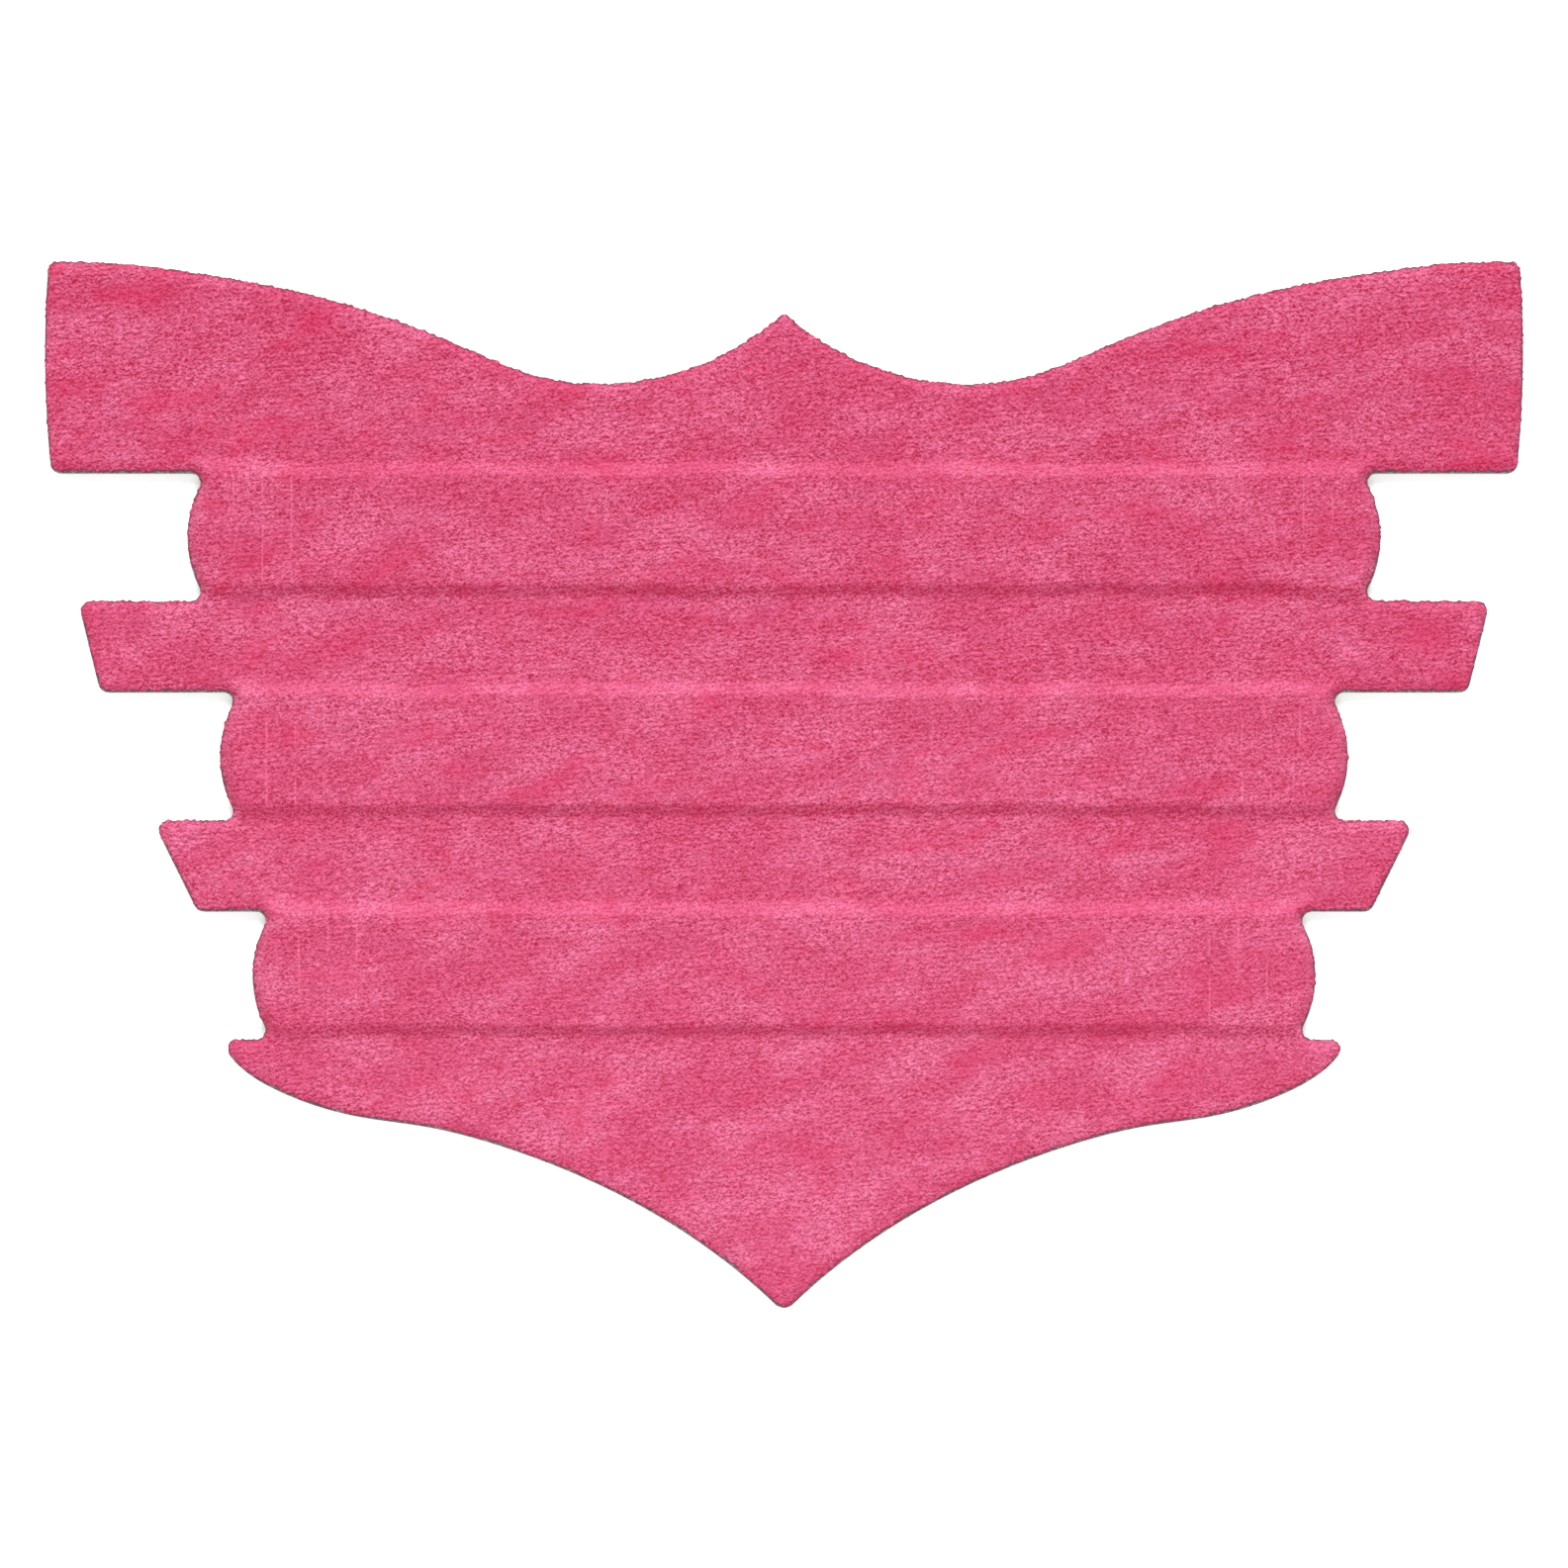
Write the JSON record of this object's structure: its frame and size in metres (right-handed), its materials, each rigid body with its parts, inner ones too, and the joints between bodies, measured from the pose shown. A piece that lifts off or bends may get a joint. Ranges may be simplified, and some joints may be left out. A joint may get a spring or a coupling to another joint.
{
  "type": "equine nasal strip",
  "caption": "Self-adhesive sprung strip that holds a horse's nasal passages open, with a die-cut wing outline, raised bands, and a peelable liner.",
  "frame": {"origin": "in the release liner's bottom face, under the middle of the strip's overall box", "axes": "+X towards the right wing, +Y towards the small peak on the centre line, +Z out of the fabric face"},
  "size_m": [0.152, 0.1075, 0.0026],
  "materials": {
    "cover_fabric": "brushed non-woven, matte",
    "foam_pad": "fine closed-cell foam, matte",
    "skin_adhesive": "tacky film, satin",
    "spring_polymer": "clear milky polyester, gloss",
    "liner_paper": "siliconised paper, satin"
  },
  "bodies": {
    "centre": {"cover_centre": "cover_fabric", "foam_centre": "foam_pad", "adhesive_centre": "skin_adhesive", "spring_top_centre": "spring_polymer", "spring_middle_centre": "spring_polymer", "spring_bottom_centre": "spring_polymer"},
    "left_inner": {"cover_left_inner": "cover_fabric", "foam_left_inner": "foam_pad", "adhesive_left_inner": "skin_adhesive", "spring_top_left_inner": "spring_polymer", "spring_middle_left_inner": "spring_polymer", "spring_bottom_left_inner": "spring_polymer"},
    "left_outer": {"cover_left_outer": "cover_fabric", "foam_left_outer": "foam_pad", "adhesive_left_outer": "skin_adhesive", "spring_top_left_outer": "spring_polymer", "spring_middle_left_outer": "spring_polymer", "spring_bottom_left_outer": "spring_polymer"},
    "left_wing": {"cover_left_wing": "cover_fabric", "foam_left_wing": "foam_pad", "adhesive_left_wing": "skin_adhesive", "spring_top_left_wing": "spring_polymer", "spring_middle_left_wing": "spring_polymer", "spring_bottom_left_wing": "spring_polymer"},
    "right_inner": {"cover_right_inner": "cover_fabric", "foam_right_inner": "foam_pad", "adhesive_right_inner": "skin_adhesive", "spring_top_right_inner": "spring_polymer", "spring_middle_right_inner": "spring_polymer", "spring_bottom_right_inner": "spring_polymer"},
    "right_outer": {"cover_right_outer": "cover_fabric", "foam_right_outer": "foam_pad", "adhesive_right_outer": "skin_adhesive", "spring_top_right_outer": "spring_polymer", "spring_middle_right_outer": "spring_polymer", "spring_bottom_right_outer": "spring_polymer"},
    "right_wing": {"cover_right_wing": "cover_fabric", "foam_right_wing": "foam_pad", "adhesive_right_wing": "skin_adhesive", "spring_top_right_wing": "spring_polymer", "spring_middle_right_wing": "spring_polymer", "spring_bottom_right_wing": "spring_polymer"},
    "liner_centre": {"liner_centre": "liner_paper"},
    "liner_left_inner": {"liner_left_inner": "liner_paper"},
    "liner_left_outer": {"liner_left_outer": "liner_paper"},
    "liner_left_wing": {"liner_left_wing": "liner_paper"},
    "liner_right_inner": {"liner_right_inner": "liner_paper"},
    "liner_right_outer": {"liner_right_outer": "liner_paper"},
    "liner_right_wing": {"liner_right_wing": "liner_paper"}
  },
  "joints": [
    {"name": "left_flex", "type": "hinge", "parent": "centre", "child": "left_inner", "pos_m": [-0.0092, 0, 0], "axis": [0, -1, 0], "range_deg": [0, 20], "stiffness_Nm_per_rad": 0.5},
    {"name": "left_flex_outer", "type": "hinge", "parent": "left_inner", "child": "left_outer", "pos_m": [-0.0276, 0, 0], "axis": [0, -1, 0], "range_deg": [0, 20]},
    {"name": "left_flex_wing", "type": "hinge", "parent": "left_outer", "child": "left_wing", "pos_m": [-0.046, 0, 0], "axis": [0, -1, 0], "range_deg": [0, 20]},
    {"name": "right_flex", "type": "hinge", "parent": "centre", "child": "right_inner", "pos_m": [0.0092, 0, 0], "axis": [0, 1, 0], "range_deg": [0, 20], "stiffness_Nm_per_rad": 0.5},
    {"name": "right_flex_outer", "type": "hinge", "parent": "right_inner", "child": "right_outer", "pos_m": [0.0276, 0, 0], "axis": [0, 1, 0], "range_deg": [0, 20]},
    {"name": "right_flex_wing", "type": "hinge", "parent": "right_outer", "child": "right_wing", "pos_m": [0.046, 0, 0], "axis": [0, 1, 0], "range_deg": [0, 20]},
    {"name": "centre_liner_peel", "type": "slide", "parent": "centre", "child": "liner_centre", "axis": [0, -1, 0], "range_m": [0, 0.11]},
    {"name": "centre_liner_left_flex", "type": "hinge", "parent": "liner_centre", "child": "liner_left_inner", "pos_m": [-0.0092, 0, 0], "axis": [0, -1, 0], "range_deg": [0, 20]},
    {"name": "left_liner_peel", "type": "slide", "parent": "left_outer", "child": "liner_left_outer", "axis": [0, -1, 0], "range_m": [0, 0.11]},
    {"name": "left_liner_flex", "type": "hinge", "parent": "liner_left_outer", "child": "liner_left_wing", "pos_m": [-0.046, 0, 0], "axis": [0, -1, 0], "range_deg": [0, 20]},
    {"name": "centre_liner_right_flex", "type": "hinge", "parent": "liner_centre", "child": "liner_right_inner", "pos_m": [0.0092, 0, 0], "axis": [0, 1, 0], "range_deg": [0, 20]},
    {"name": "right_liner_peel", "type": "slide", "parent": "right_outer", "child": "liner_right_outer", "axis": [0, -1, 0], "range_m": [0, 0.11]},
    {"name": "right_liner_flex", "type": "hinge", "parent": "liner_right_outer", "child": "liner_right_wing", "pos_m": [0.046, 0, 0], "axis": [0, 1, 0], "range_deg": [0, 20]}
  ],
  "couplings": [
    {"joint": "left_flex_outer", "follows": "left_flex", "ratio": 1},
    {"joint": "left_flex_wing", "follows": "left_flex", "ratio": 1},
    {"joint": "right_flex_outer", "follows": "right_flex", "ratio": 1},
    {"joint": "right_flex_wing", "follows": "right_flex", "ratio": 1},
    {"joint": "centre_liner_left_flex", "follows": "left_flex", "ratio": 1},
    {"joint": "left_liner_flex", "follows": "left_flex", "ratio": 1},
    {"joint": "centre_liner_right_flex", "follows": "right_flex", "ratio": 1},
    {"joint": "right_liner_flex", "follows": "right_flex", "ratio": 1}
  ]
}
